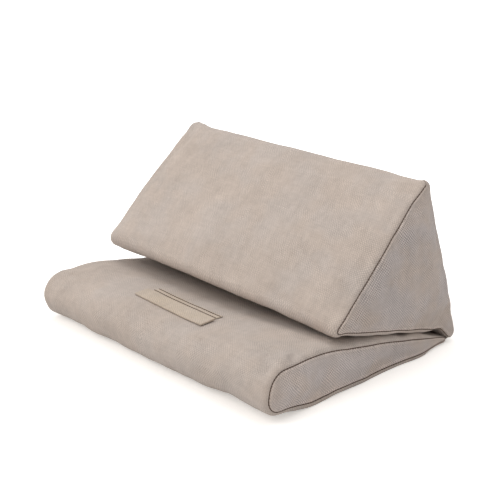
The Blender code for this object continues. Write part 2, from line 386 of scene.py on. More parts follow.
@dataclass
class Patch:
    """A mesh in the making, with its places on the flat cloth and its wear."""

    points: list[Vector] = field(default_factory=list)
    faces: list[tuple[int, ...]] = field(default_factory=list)
    cloth: list[tuple[tuple[float, float], ...]] = field(default_factory=list)
    places: list[tuple[float, float]] = field(default_factory=list)
    wear: list[float] = field(default_factory=list)

    def row(self, points: Sequence[Vector], places: Sequence[tuple[float, float]],
            wear: Sequence[float]) -> list[int]:
        """Add a row of points.

        Args:
            points: Where they are.
            places: Their places on the flat cloth.
            wear: How worn the cloth is at each.

        Returns:
            Their numbers.
        """
        first = len(self.points)
        self.points.extend(points)
        self.places.extend(places)
        self.wear.extend(wear)
        return list(range(first, first + len(points)))

    def bridge(self, first: list[int], second: list[int], lap: tuple[float, float] = (0, 0)) -> None:
        """Join two closed rows by faces.

        Args:
            first: The numbers of one row's points.
            second: Those of the next one.
            lap: What the cloth's place gains by the end of a whole round.
        """
        count = len(first)
        for step in range(count):
            beside = (step + 1) % count
            corners = (first[step], first[beside], second[beside], second[step])
            places = [self.places[corner] for corner in corners]
            if beside == 0:
                for index in (1, 2):
                    places[index] = (places[index][0] + lap[0], places[index][1] + lap[1])
            self.faces.append(corners)
            self.cloth.append(tuple(places))

    def triangles(self, faces: Sequence[Sequence[int]]) -> None:
        """Add faces between points that are there already."""
        for face in faces:
            self.faces.append(tuple(face))
            self.cloth.append(tuple(self.places[corner] for corner in face))

    def build(self, name: str) -> bpy.types.Object:
        """Make the object.

        Args:
            name: The piece's name.

        Returns:
            The piece, closed, smooth and with its faces outwards.
        """
        mesh = bpy.data.meshes.new(name)
        mesh.from_pydata(self.points, [], self.faces)
        layer = mesh.uv_layers.new(name=CLOTH_MAP)
        layer.data.foreach_set("uv", [number for face in self.cloth for place in face for number in place])
        mesh.attributes.new(WEAR, "FLOAT", "POINT").data.foreach_set("value", self.wear)
        shape = bmesh.new()
        shape.from_mesh(mesh)
        bmesh.ops.recalc_face_normals(shape, faces=shape.faces)
        shape.to_mesh(mesh)
        shape.free()
        mesh.shade_smooth()
        piece = bpy.data.objects.new(name, mesh)
        bpy.context.scene.collection.objects.link(piece)
        return piece


def dressed(piece: bpy.types.Object, finish: bpy.types.Material) -> bpy.types.Object:
    """Give a piece its finish and let it ride on the stand.

    Args:
        piece: The piece.
        finish: Its material.

    Returns:
        The same piece.
    """
    piece.data.materials.clear()
    piece.data.materials.append(finish)
    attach(piece, BODY)
    return piece


def applied(piece: bpy.types.Object) -> bpy.types.Object:
    """Apply a piece's modifiers and shade it smooth.

    Args:
        piece: The piece.

    Returns:
        The same piece.
    """
    bpy.ops.object.select_all(action="DESELECT")
    piece.select_set(True)
    bpy.context.view_layer.objects.active = piece
    for modifier in list(piece.modifiers):
        bpy.ops.object.modifier_apply(modifier=modifier.name)
    piece.data.shade_smooth()
    piece.select_set(False)
    return piece


def cloth_slab(name: str, rows: Sequence[Sequence[Vector]], thickness: float) -> bpy.types.Object:
    """Make a strip of canvas with a thickness and soft edges.

    Args:
        name: The piece's name.
        rows: Points of its outer face, row by row.
        thickness: How thick it is.

    Returns:
        The piece.
    """
    count = len(rows[0])
    places = []
    for row in rows:
        run = 0.0
        for step, point in enumerate(row):
            run += (point - row[step - 1]).length if step else 0.0
            places.append((point.x, run))
    faces = [(first + step, first + count + step, first + count + step + 1, first + step + 1)
             for first in range(0, count * (len(rows) - 1), count) for step in range(count - 1)]
    mesh = bpy.data.meshes.new(name)
    mesh.from_pydata([point for row in rows for point in row], [], faces)
    layer = mesh.uv_layers.new(name=CLOTH_MAP)
    layer.data.foreach_set("uv", [number for face in faces for corner in face for number in places[corner]])
    mesh.attributes.new(WEAR, "FLOAT", "POINT")
    piece = bpy.data.objects.new(name, mesh)
    bpy.context.scene.collection.objects.link(piece)
    wall = piece.modifiers.new("wall", "SOLIDIFY")
    wall.thickness, wall.offset, wall.use_even_offset = thickness, -1, False
    edges = piece.modifiers.new("edges", "BEVEL")
    edges.width, edges.segments, edges.limit_method = thickness * 0.4, 2, "ANGLE"
    edges.angle_limit = radians(50)
    return applied(piece)


@dataclass
class Thread:
    """Sewing thread, laid stitch by stitch."""

    yarn: bpy.types.Material
    stitch: float = 0.0031         # from one needle hole to the next
    thickness: float = 0.00105
    shape: tuple[list[Vector], list[tuple[int, ...]]] = ((), ())

    def __post_init__(self) -> None:
        """Model the one stitch that all the others copy: round, and thin where it dips."""
        bpy.ops.object.select_all(action="DESELECT")
        bpy.ops.mesh.primitive_uv_sphere_add(segments=8, ring_count=6, radius=self.thickness / 2)
        stitch = bpy.context.object
        bpy.ops.object.mode_set(mode="EDIT")
        bpy.ops.mesh.select_all(action="SELECT")
        bpy.ops.transform.resize(value=(1, 1, self.stitch * 1.04 / self.thickness))
        bpy.ops.object.mode_set(mode="OBJECT")
        self.shape = ([vertex.co.copy() for vertex in stitch.data.vertices],
                      [tuple(face.vertices) for face in stitch.data.polygons])
        bpy.data.objects.remove(stitch)

    def sew(self, name: str, lines: Sequence[Sequence[Vector]]) -> bpy.types.Object:
        """Lay stitches along lines.

        Args:
            name: The piece's name.
            lines: The points of each line.

        Returns:
            One piece with all the stitches.
        """
        points, faces = [], []
        for line in lines:
            length = sum((there - here).length for here, there in zip(line, line[1:]))
            holes = resampled(line, round(length / self.stitch))
            for here, there in zip(holes, holes[1:]):
                turn = (there - here).to_track_quat("Z", "Y").to_matrix()
                first = len(points)
                middle = (here + there) / 2
                points += [middle + turn @ point for point in self.shape[0]]
                faces += [tuple(first + corner for corner in face) for face in self.shape[1]]
        mesh = bpy.data.meshes.new(name)
        mesh.from_pydata(points, [], faces)
        mesh.shade_smooth()
        piece = bpy.data.objects.new(name, mesh)
        bpy.context.scene.collection.objects.link(piece)
        return dressed(piece, self.yarn)


def resampled(path: Sequence[Vector], count: int) -> list[Vector]:
    """Space points evenly along a path.

    Args:
        path: The path's own points.
        count: Into how many lengths it is parted.

    Returns:
        The new points, one more than the lengths.
    """
    lengths = [0.0]
    for here, there in zip(path, path[1:]):
        lengths.append(lengths[-1] + (there - here).length)
    points, index = [], 0
    for step in range(count + 1):
        wanted = lengths[-1] * step / count
        while index < len(path) - 2 and lengths[index + 1] < wanted:
            index += 1
        share = (wanted - lengths[index]) / max(lengths[index + 1] - lengths[index], 1e-9)
        points.append(path[index].lerp(path[index + 1], share))
    return points


@dataclass(frozen=True)
class Pinch:
    """A place in the section, at the hinge, where the cover is drawn in."""

    y: float
    z: float
    length: float                  # how far from it the swell is full again
    below: float = 0.0             # what a face that looks down keeps of the swell

    def fullness(self, point: Vector, normal: Vector | None) -> float:
        """Give the share of the full swell.

        Args:
            point: A point of the section.
            normal: Its outward normal, or none inside a panel.

        Returns:
            The share, from 0 at the pinch itself.
        """
        share = smooth((point - Vector((self.y, self.z))).length / self.length)
        if normal is not None and normal.y < 0:
            share = mixed(share, 1.0, self.below * smooth(-normal.y * 1.3))
        return share


@dataclass(frozen=True)
class Pull:
    """A place where a hand, a fold or the stuffing has moved the cloth."""

    place: tuple[float, float, float]
    reach: float
    move: tuple[float, float, float]

    def at(self, spot: Vector) -> Vector:
        """Give how far the cloth is moved at a spot."""
        far = (spot - Vector(self.place)).length / self.reach
        return Vector(self.move) * smooth(1 - far)


@dataclass
class Settling:
    """A cloth simulation in which a cushion's cover finds its own slack over the stuffing."""

    spacing: float = 0.0058        # of the simulated mesh
    frames: int = 20
    pressure: float = 4.0
    growth: float = 0.015          # how much larger the cloth is cut than the stuffing
    cap: float = 0.0022            # how far a point may move
    moves: list[Vector] = field(default_factory=list)
    tree: kdtree.KDTree | None = None

    def run(self, shell: bpy.types.Object, free: Sequence[float]) -> None:
        """Simulate the cover and keep how its points moved.

        Args:
            shell: The closed cover, which is removed afterwards.
            free: For each point, the share of the cap that it may move.
        """
        held = shell.vertex_groups.new(name="held")
        for index, share in enumerate(free):
            held.add([index], 1 - share, "REPLACE")
        cloth = shell.modifiers.new("cloth", "CLOTH")
        cloth.settings.quality = 6
        cloth.settings.mass = 0.3
        cloth.settings.tension_stiffness = 12
        cloth.settings.compression_stiffness = 12
        cloth.settings.shear_stiffness = 5
        cloth.settings.bending_stiffness = 0.4
        cloth.settings.use_pressure = True
        cloth.settings.uniform_pressure_force = self.pressure
        cloth.settings.shrink_min = -self.growth
        cloth.settings.shrink_max = -self.growth
        cloth.settings.effector_weights.gravity = 0
        cloth.settings.vertex_group_mass = held.name
        cloth.settings.pin_stiffness = 0.6
        cloth.point_cache.frame_start, cloth.point_cache.frame_end = 1, self.frames
        for frame in range(1, self.frames + 1):
            bpy.context.scene.frame_set(frame)
        settled = shell.evaluated_get(bpy.context.evaluated_depsgraph_get()).data
        rest = [vertex.co.copy() for vertex in shell.data.vertices]
        self.moves = []
        self.tree = kdtree.KDTree(len(rest))
        for index, (vertex, start) in enumerate(zip(settled.vertices, rest)):
            move = vertex.co - start
            if move.length > self.cap * free[index]:
                move = move.normalized() * self.cap * free[index]
            self.moves.append(move)
            self.tree.insert(start, index)
        self.tree.balance()
        bpy.data.objects.remove(shell)
        bpy.context.scene.frame_set(1)
        lengths = sorted(move.length for move in self.moves)
        LOG.info("settled: median move %.2f mm, largest %.2f mm", lengths[len(lengths) // 2] * 1000,
                 lengths[-1] * 1000)

    def at(self, spot: Vector) -> Vector:
        """Give how the simulated cover moved at a spot, from its nearest points.

        Args:
            spot: A place on the unsettled cover.

        Returns:
            The move, or none where no simulation has been run.
        """
        if self.tree is None:
            return Vector((0, 0, 0))
        total, weights = Vector((0, 0, 0)), 1e-9
        for _, index, far in self.tree.find_n(spot, 10):
            weight = exp(-(far / self.spacing) ** 2)
            total += self.moves[index] * weight
            weights += weight
        return total / weights


@dataclass
class Cushion:
    """A stuffed cushion: a strip of canvas round its section, and a panel sewn in at each end."""

    name: str
    left: Section
    right: Section
    pinches: tuple[Pinch, ...]
    crown: Callable[[Vector], float]
    seam: Callable[[Vector], float]
    ground: Callable[[float], float]  # the lowest that the cloth lies, by the place in Y
    canvas: bpy.types.Material
    # the end panels' copy of the canvas, tinted as painted shade
    panel_shade_canvas: bpy.types.Material
    thread: Thread
    pulls: tuple[Pull, ...] = ()
    settling: Settling = field(default_factory=Settling)
    width: float = 0.327           # between the end rings
    roll: float = 0.0042           # radius with which the strip turns down at an end
    sag: float = 0.0               # how much deeper it is underneath at the right end, as a share
    sag_from: float = 0.110        # where that starts in X
    sag_length: float = 0.050
    sag_front: float = -0.118      # and in Y
    sag_fade: float = 0.035
    pinch: float = 0.0006          # what is left of that swell at the hinge
    wall: float = 0.0012           # thickness of the cloth with its turnings
    dome: float = 0.0032           # how far a panel bellies out
    dome_length: float = 0.020     # from its edge to where it is full
    ridge: float = 0.0009          # the turnings under a panel's edge raise it
    spacing: float = 0.0024        # between points of the mesh
    margin: float = 0.018          # the strip's rows run with the seam as far in as this
    panel_margin: float = 0.0042   # and the panel's rows
    waves: float = 0.0007          # gentle unevenness of the stuffing

    # Distance from the seam and depth under the cloth, where an edge turns in
    RIM = ((0.00010, 1.0), (0.00020, 0.5), (0.00048, 0.18), (0.0010, 0.0))

    def __post_init__(self) -> None:
        """Settle the number of points round the section."""
        self.counts = self.left.towards(self.right, 0.5).steps(self.spacing, self.roll)
        ring = self.section(0.0).ring(self.counts)
        self.lengths = [0.0]
        for (point, _), (following, _) in zip(ring, ring[1:] + ring[:1]):
            self.lengths.append(self.lengths[-1] + (following - point).length)

    def section(self, x: float) -> Section:
        """Give the section at a place across the width."""
        return self.left.towards(self.right, x / self.width + 0.5)

    def fullness(self, point: Vector, normal: Vector | None = None) -> float:
        """Give the share of the full swell at a point of the section: none at the hinge."""
        return prod(pinch.fullness(point, normal) for pinch in self.pinches)

    def room(self, section: Section, point: Vector) -> float:
        """Give the share of a panel's margin that there is room for, less in a tight corner.

        Args:
            section: The panel's outline.
            point: A point of it.

        Returns:
            The share.
        """
        most = self.panel_margin
        for index, corner in enumerate(section.corners):
            if corner.radius > 0:
                run = max((point - corner.centre).length_squared - corner.radius ** 2, 0.0) ** 0.5
                half = (pi - section.turn(index)[1]) / 2
                most = min(most, corner.radius * 0.8 + run * 0.75 * tan(half))
        return most / self.panel_margin

    def place(self, side: Side, inboard: float, point: Vector, normal: Vector,
              depth: float = 0.0) -> Vector:
        """Give a point of the cloth.

        Args:
            side: The nearer end.
            inboard: Distance from the end ring along the cloth, negative on the panel.
            point: Where the section is.
            normal: Its outward normal there.
            depth: How far under the outer face.

        Returns:
            The place in the frame of the solids.
        """
        half, flat = self.width / 2, self.width / 2 - self.roll
        full = self.fullness(point, normal)
        if inboard < 0:
            angle = pi / 2
            across = half + self.dome * smooth(-inboard / self.dome_length)
            section = point + normal * inboard
        else:
            angle = max(pi / 2 - inboard / self.roll, 0.0)
            across = flat + self.roll * sin(angle) - max(inboard - self.roll * pi / 2, 0.0)
            deeper = smooth((side.value * across - self.sag_from) / self.sag_length)
            deeper *= smooth((point.x - self.sag_front) / self.sag_fade)
            deep = self.roll * (1 + self.sag * deeper * smooth(-normal.y * 1.2))
            swell = mixed(self.pinch, deep, full) * cos(angle)
            middle = cos(pi / 2 * min(across / flat, 1.0))
            section = point + normal * (swell + self.crown(normal) * middle * full)
        outward = Vector((side.value * sin(angle), normal.x * cos(angle), normal.y * cos(angle)))
        surface = Vector((side.value * across, section.x, section.y))
        return self.rested(surface, outward, abs(inboard - self.seam(normal)), full, depth)

    def rested(self, surface: Vector, outward: Vector, from_seam: float, full: float,
               depth: float) -> Vector:
        """Give a point as the stuffed cloth holds it: dented, waved and flat on the floor.

        Args:
            surface: The point on the smooth outer face.
            outward: The direction out of that face.
            from_seam: Its distance from the seam, where the cloth is held.
            full: Its share of the full swell.
            depth: How far under the outer face it lies.

        Returns:
            The place.
        """
        wave = noise.noise(surface * 22) + 0.5 * noise.noise(surface * 55)
        calm = full * smooth(from_seam / 0.010)
        placed = surface + outward * (self.waves * wave * calm - depth)
        for pull in self.pulls:
            placed += pull.at(surface)
        placed += self.settling.at(surface)
        placed.z = max(placed.z, self.ground(placed.y) + depth)
        return placed

    def skin(self, x: float, lift: float) -> list[tuple[Vector, Vector]]:
        """Walk the outer face at a place across.

        Args:
            x: The place across.
            lift: How far off the face the points lie.

        Returns:
            Points in the frame of the solids, with the section's normals.
        """
        side = Side.RIGHT if x > 0 else Side.LEFT
        inboard = self.roll * pi / 2 + self.width / 2 - self.roll - abs(x)
        ring = self.section(x).ring(self.counts)
        return [(self.place(side, inboard, point, normal, -lift), normal) for point, normal in ring]

    def shell(self) -> tuple[bpy.types.Object, list[float]]:
        """Build a plain closed cover for the simulation.

        Returns:
            The cover, and for each of its points the share of the cap that it may move.
        """
        patch = Patch()
        quarter, flat = self.roll * pi / 2, self.width / 2 - self.roll
        spans = ceil(2 * flat / self.spacing)
        stops = [(-flat - self.roll, 0.0), (-flat, quarter / 2)]
        for step in range(spans + 1):
            x = -flat + 2 * flat * step / spans
            stops.append((x, quarter + flat - abs(x)))
        stops += [(flat, quarter / 2), (flat + self.roll, 0.0)]
        rows = []
        for x, inboard in stops:
            side = Side.RIGHT if x > 0 else Side.LEFT
            ring = self.section(x).ring(self.counts)
            rows.append(self._strip_row(patch, side, ring, lambda seam, inboard=inboard: inboard, 0.0))
        for first, second in zip(rows, rows[1:]):
            patch.bridge(first, second)
        for side, row in ((Side.LEFT, rows[0]), (Side.RIGHT, rows[-1])):
            line = [point for point, _ in self.section(side.value * self.width / 2).ring(self.counts)]
            self._fill(patch, side, line, row, line, 0.0)
        at_seam = {*rows[0], *rows[-1]}
        free = []
        for index, point in enumerate(patch.points):
            share = self.fullness(Vector((point.y, point.z)))
            share *= 0.35 if index in at_seam else 1.0
            free.append(share * smooth(point.z / 0.006))
        return patch.build(f"{self.name}_cover"), free

    def settle(self) -> None:
        """Let the simulated cover find its slack."""
        coarse = replace(self, spacing=self.settling.spacing, settling=Settling())
        self.settling.run(*coarse.shell())

    def strip(self) -> bpy.types.Object:
        """Build the strip: its outer face from seam to seam and a plain inner face."""
        patch = Patch()
        half = self.width / 2
        quarter = self.roll * pi / 2
        edge = half - self.roll - (self.margin - quarter)
        spans = ceil(2 * edge / self.spacing)
        rows = []
        run_in = 7
        for side in (Side.LEFT, Side.RIGHT):
            ring = self.section(side.value * half).ring(self.counts)
            near = []
            for away, share in self.RIM:
                near.append(self._strip_row(patch, side, ring, lambda seam, away=away: seam + away, share))
            for step in range(1, run_in):
                def inboard(seam: float, step: int = step) -> float:
                    return mixed(seam + self.RIM[-1][0], self.margin, step / run_in)
                near.append(self._strip_row(patch, side, ring, inboard, 0.0))
            rows.append(near)
        middle = []
        for step in range(spans + 1):
            x = -edge + 2 * edge * step / spans
            side = Side.RIGHT if x > 0 else Side.LEFT
            ring = self.section(x).ring(self.counts)
            inboard = quarter + half - self.roll - abs(x)
            middle.append(self._strip_row(patch, side, ring, lambda seam, inboard=inboard: inboard, 0.0))
        inner = []
        for step in range(7):
            x = (half - 0.004) * (1 - step / 3)
            side = Side.RIGHT if x > 0 else Side.LEFT
            ring = self.section(x).ring(self.counts)
            inboard = max(quarter + half - self.roll - abs(x), 0.002)
            inner.append(self._strip_row(patch, side, ring, lambda seam, inboard=inboard: inboard, 1.0))
        lap = (0.0, self.lengths[-1])
        order = rows[0] + middle + rows[1][::-1] + inner
        for first, second in zip(order, order[1:] + order[:1]):
            patch.bridge(first, second, lap)
        return dressed(patch.build(f"{self.name}_strip"), self.canvas)

    def _strip_row(self, patch: Patch, side: Side, ring: Sequence[tuple[Vector, Vector]],
                   inboard: Callable[[float], float], share: float) -> list[int]:
        """Add a row of the strip.

        Args:
            patch: The mesh in the making.
            side: The nearer end.
            ring: The section there.
            inboard: Gives the distance from the end ring, by the seam's place.
            share: The share of the wall's depth under the outer face.

        Returns:
            The numbers of its points.
        """
        points, places, wear = [], [], []
        for index, (point, normal) in enumerate(ring):
            seam = self.seam(normal)
            along = inboard(seam)
            points.append(self.place(side, along, point, normal, share * self.wall))
            places.append((side.value * (self.width / 2 - along), self.lengths[index]))
            wear.append(0.55 * exp(-abs(along - seam) / 0.0022))
        return patch.row(points, places, wear)

    def panel(self, side: Side) -> bpy.types.Object:
        """Build the panel of an end: its edge turned in at the seam, its domed face and its back."""
        patch = Patch()
        section = self.section(side.value * self.width / 2)
        ring = section.ring(self.counts)
        rooms = [self.room(section, point) for point, _ in ring]
        rows = []
        for away, share in self.RIM:
            rows.append(self._panel_row(patch, side, ring, rooms, away, share))
        run_in = 6
        for step in range(1, run_in + 1):
            rows.append(self._panel_row(patch, side, ring, rooms, None, 0.0, step / run_in))
        for first, second in zip(rows, rows[1:]):
            patch.bridge(first, second)
        back = self._panel_row(patch, side, ring, rooms, None, 1.0, 1.0)
        patch.bridge(rows[0], back)
        inside = [point - normal * self.panel_margin * room for (point, normal), room in zip(ring, rooms)]
        self._fill(patch, side, inside, rows[-1], [point for point, _ in ring], 0.0)
        self._fill(patch, side, inside, back, [point for point, _ in ring], self.wall)
        return dressed(patch.build(f"{self.name}_panel_{side.name.lower()}"),
                       self.panel_shade_canvas)

    def _panel_row(self, patch: Patch, side: Side, ring: Sequence[tuple[Vector, Vector]],
                   rooms: Sequence[float], away: float | None, share: float,
                   step: float = 0.0) -> list[int]:
        """Add a row of a panel.

        Args:
            patch: The mesh in the making.
            side: The end that it closes.
            ring: The end's section.
            rooms: The share of the margin that there is room for at each point.
            away: Distance from the seam, or none to go by the step.
            share: The share of the wall's depth under the outer face.
            step: The share of the way to the panel's margin.

        Returns:
            The numbers of its points.
        """
        points, places, wear = [], [], []
        for (point, normal), room in zip(ring, rooms):
            seam = self.seam(normal)
            if away is None:
                along = mixed(seam - self.RIM[-1][0] * room, -self.panel_margin * room, step)
            else:
                along = seam - away * room
            far = abs(along - seam)
            lift = self.ridge * room * exp(-((far - 0.0017) / 0.0010) ** 2)
            points.append(self.place(side, along, point, normal, share * self.wall - lift))
            places.append(tuple(point + normal * along))
            wear.append(exp(-far / 0.0028))
        return patch.row(points, places, wear)

    def _fill(self, patch: Patch, side: Side, inside: Sequence[Vector], edge: list[int],
              seam_line: Sequence[Vector], depth: float) -> None:
        """Fill a panel within its innermost row.

        Args:
            patch: The mesh in the making.
            side: The end that it closes.
            inside: The innermost row in the section.
            edge: The numbers of that row's points.
            seam_line: The end ring, from which the dome rises.
            depth: How far under the outer face the fill lies.
        """
        tree = kdtree.KDTree(len(seam_line))
        for index, point in enumerate(seam_line):
            tree.insert((*point, 0), index)
        tree.balance()
        inner_tree = kdtree.KDTree(len(inside))
        for index, point in enumerate(inside):
            inner_tree.insert((*point, 0), index)
        inner_tree.balance()
        pitch = self.spacing * 1.25
        low = Vector((min(point.x for point in inside), min(point.y for point in inside)))
        high = Vector((max(point.x for point in inside), max(point.y for point in inside)))
        spots = []
        for line in range(ceil((high.y - low.y) / (pitch * 0.866))):
            for step in range(ceil((high.x - low.x) / pitch)):
                spot = low + Vector(((step + 0.5 * (line % 2)) * pitch, line * pitch * 0.866))
                if inner_tree.find((*spot, 0))[2] > pitch * 0.55 and self._encloses(inside, spot):
                    spots.append(spot)
        flat = [*inside, *spots]
        done = geometry.delaunay_2d_cdt(flat, [], [list(range(len(inside)))], 1, 1e-7)
        placed, places, wear = [], [], []
        for spot in spots:
            far = tree.find((*spot, 0))[2]
            across = self.width / 2 + self.dome * smooth(far / self.dome_length)
            surface = Vector((side.value * across, spot.x, spot.y))
            outward = Vector((side.value, 0, 0))
            full = self.fullness(spot)
            placed.append(self.rested(surface, outward, far, full, depth))
            places.append(tuple(spot))
            wear.append(exp(-far / 0.0028))
        numbers = edge + patch.row(placed, places, wear)
        origin = [source[0] for source in done[3]]
        patch.triangles([[numbers[origin[corner]] for corner in face] for face in done[2]])

    @staticmethod
    def _encloses(outline: Sequence[Vector], spot: Vector) -> bool:
        """Say whether a closed outline goes round a spot."""
        inside = False
        for here, there in zip(outline, [*outline[1:], outline[0]]):
            if (here.y > spot.y) != (there.y > spot.y):
                crossing = here.x + (spot.y - here.y) * (there.x - here.x) / (there.y - here.y)
                inside = inside != (spot.x < crossing)
        return inside

    def seam_shade_thread(self, side: Side) -> None:
        """Lay dark thread in an end's seam groove, painted shade of the groove where strip and panel meet."""
        ring = self.section(side.value * self.width / 2).ring(self.counts)
        path = [self.place(side, self.seam(normal), point, normal, 0.00020) for point, normal in ring]
        self.thread.sew(f"{self.name}_seam_{side.name.lower()}", [[*path, path[0]]])

    def build(self, filling: str) -> bpy.types.Object:
        """Build the cushion's pieces in place of its solids.

        Args:
            filling: The node of the cushion's filling, which the strip hides.

        Returns:
            The strip.
        """
        self.settle()
        strip = self.strip()
        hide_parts(f"{self.name}_wrap", filling)
        for side in Side:
            panel = self.panel(side)
            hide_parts(f"{self.name}_gusset_{side.name.lower()}")
            self.seam_shade_thread(side)
        LOG.info("%s cushion: %d faces in the strip", self.name, len(strip.data.polygons))
        return strip


@dataclass
class Hinge:
    """The strip of canvas that joins the two cushions, round the heel and under the base."""

    base: Cushion
    wedge: Cushion
    canvas: bpy.types.Material
    thread: Thread
    inset: float = 0.0035          # short of each end seam
    rise: float = 0.022            # up the back of the wedge
    lap: float = 0.020             # forward under the base
    thickness: float = 0.0010
    lift: float = 0.0003           # off the cushions
    hem: float = 0.0030            # from an edge to its stitches

    def path(self, x: float) -> list[Vector]:
        """Walk the outer face: down the back of the wedge, round its heel and forward under the base.

        Args:
            x: The place across.

        Returns:
            Evenly spaced points.
        """
        off = self.lift + self.thickness
        heel = self.wedge.section(x).corners[2]
        start = sum(arc + run for arc, run in self.wedge.counts[:2])
        round_heel = [point for point, normal in self.wedge.skin(x, off)[start:]
                      if normal.x > -0.1 and point.y > heel.y - 0.004 and point.z < heel.z + self.rise]
        tail = self.base.section(x).corners[1]
        under = [point for point, normal in self.base.skin(x, off)
                 if normal.y < -0.6 and tail.y - self.lap < point.y < tail.y - 0.001]
        return resampled(round_heel[::-1] + under[::-1], 30)

    def build(self) -> None:
        """Build the strip and its stitches."""
        half = self.wedge.width / 2 - self.inset
        spans = 90
        rows = [self.path(-half + 2 * half * step / spans) for step in range(spans + 1)]
        strip = dressed(cloth_slab("hinge_strip", rows, self.thickness), self.canvas)
        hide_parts("hinge_cloth")
        length = sum((there - here).length for here, there in zip(rows[45], rows[45][1:]))
        2 * half
        step = round(self.hem / length * 30)
        self.thread.sew("hinge_stitches", [[row[step] for row in rows], [row[-1 - step] for row in rows]])
        LOG.info("hinge: %.0f mm long round the heel", length * 1000)


@dataclass
class Ledge:
    """The low ledge that stops a tablet: a stiffened sleeve of canvas with a flap sewn down behind it."""

    base: bpy.types.Object
    canvas: bpy.types.Material
    thread: Thread
    width: float = 0.105
    depth: float = 0.0155
    front: float = -0.0918
    thickness: float = 0.0020
    lift: float = 0.0003           # off the cushion at the front
    rise: float = radians(3)       # of the rear edge
    skew: float = radians(-3.6)    # it is sewn on a little aslant
    flap: float = 0.0125           # length of the flap behind the sleeve
    short: float = 0.004           # the flap at each end of the sleeve
    cloth: float = 0.0010

    def top(self, x: float, y: float) -> float:
        """Give the height of the cushion's top at a place."""
        return self.base.ray_cast(Vector((x, y, 0.2)), Vector((0, 0, -1)))[1].z

    def sleeve(self) -> bpy.types.Object:
        """Shape the stiffened sleeve.

        Returns:
            The piece, following the cushion's top.
        """
        middle = self.front + self.depth / 2
        bpy.ops.object.select_all(action="DESELECT")
        bpy.ops.mesh.primitive_cube_add(size=1, location=(0, middle, 0.05),
                                        scale=(self.width, self.depth, self.thickness))
        sleeve = bpy.context.object
        sleeve.name = sleeve.data.name = "ledge_sleeve_dressed"
        bpy.ops.object.transform_apply(location=True, rotation=True, scale=True)
        bpy.ops.object.mode_set(mode="EDIT")
        bpy.ops.mesh.select_all(action="SELECT")
        bpy.ops.mesh.bevel(offset=self.thickness * 0.42, segments=4, affect="EDGES")
        bpy.ops.object.mode_set(mode="OBJECT")
        shape = bmesh.new()
        shape.from_mesh(sleeve.data)
        for step in range(1, 34):
            x = -self.width / 2 + self.width * step / 34
            bmesh.ops.bisect_plane(shape, geom=shape.verts[:] + shape.edges[:] + shape.faces[:],
                                   plane_co=(x, 0, 0), plane_no=(1, 0, 0))
        for share in (0.2, 0.4, 0.6, 0.8):
            y = self.front + self.depth * share
            bmesh.ops.bisect_plane(shape, geom=shape.verts[:] + shape.edges[:] + shape.faces[:],
                                   plane_co=(0, y, 0), plane_no=(0, 1, 0))
        shape.to_mesh(sleeve.data)
        shape.free()
        turn = Matrix.Rotation(self.skew, 3, "Z")
        centre = Vector((0, middle, 0))
        for vertex in sleeve.data.vertices:
            local = vertex.co - Vector((0, middle, 0.05))
            flat = turn @ Vector((local.x, local.y, 0)) + centre
            soft = 0.00025 * noise.noise(Vector((local.x * 60, local.y * 60, 0)))
            rise = self.rise * (local.y + self.depth / 2)
            height = self.top(flat.x, min(max(flat.y, self.front + 0.002), self.front + self.depth))
            height += self.lift + self.thickness / 2 + local.z + rise + soft
            vertex.co = Vector((flat.x, flat.y, height))
        self.lay(sleeve)
        sleeve.data.shade_smooth()
        return dressed(sleeve, self.canvas)

    @staticmethod
    def lay(piece: bpy.types.Object) -> None:
        """Map a piece as cloth seen from above, and give it unworn edges."""
        mesh = piece.data
        while mesh.uv_layers:
            mesh.uv_layers.remove(mesh.uv_layers[0])
        layer = mesh.uv_layers.new(name=CLOTH_MAP)
        for loop in mesh.loops:
            point = mesh.vertices[loop.vertex_index].co
            layer.data[loop.index].uv = (point.x, point.y - point.z)
        mesh.attributes.new(WEAR, "FLOAT", "POINT")

    def behind(self) -> bpy.types.Object:
        """Build the flap, sewn down on the cushion behind the sleeve.

        Returns:
            The piece.
        """
        half, rear = self.width / 2 - self.short, self.front + self.depth
        turn = Matrix.Rotation(self.skew, 3, "Z")
        middle = Vector((0, self.front + self.depth / 2, 0))
        rows = []
        for step in range(41):
            x = -half + 2 * half * step / 40
            row = []
            for place in range(13):
                y = rear - 0.004 + (self.flap + 0.004) * place / 12
                flat = turn @ (Vector((x, y, 0)) - middle) + middle
                slack = 0.0010 * (1 - smooth(place / 4))
                height = self.top(flat.x, flat.y) + self.cloth + 0.0003 + slack
                row.append(Vector((flat.x, flat.y, height)))
            rows.append(row)
        flap = dressed(cloth_slab("ledge_flap", rows, self.cloth), self.canvas)
        lines = [[row[place] + Vector((0, 0, 0.0001)) for row in rows] for place in (6, 10)]
        self.thread.sew("ledge_stitches", lines)
        return flap

    def build(self) -> None:
        """Build the sleeve and its flap."""
        sleeve, flap = self.sleeve(), self.behind()
        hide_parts("ledge_sleeve", "ledge_board")
        flat = (self.width - 2 * self.short, self.flap + 0.004)
        LOG.info("ledge: %d faces", len(sleeve.data.polygons))


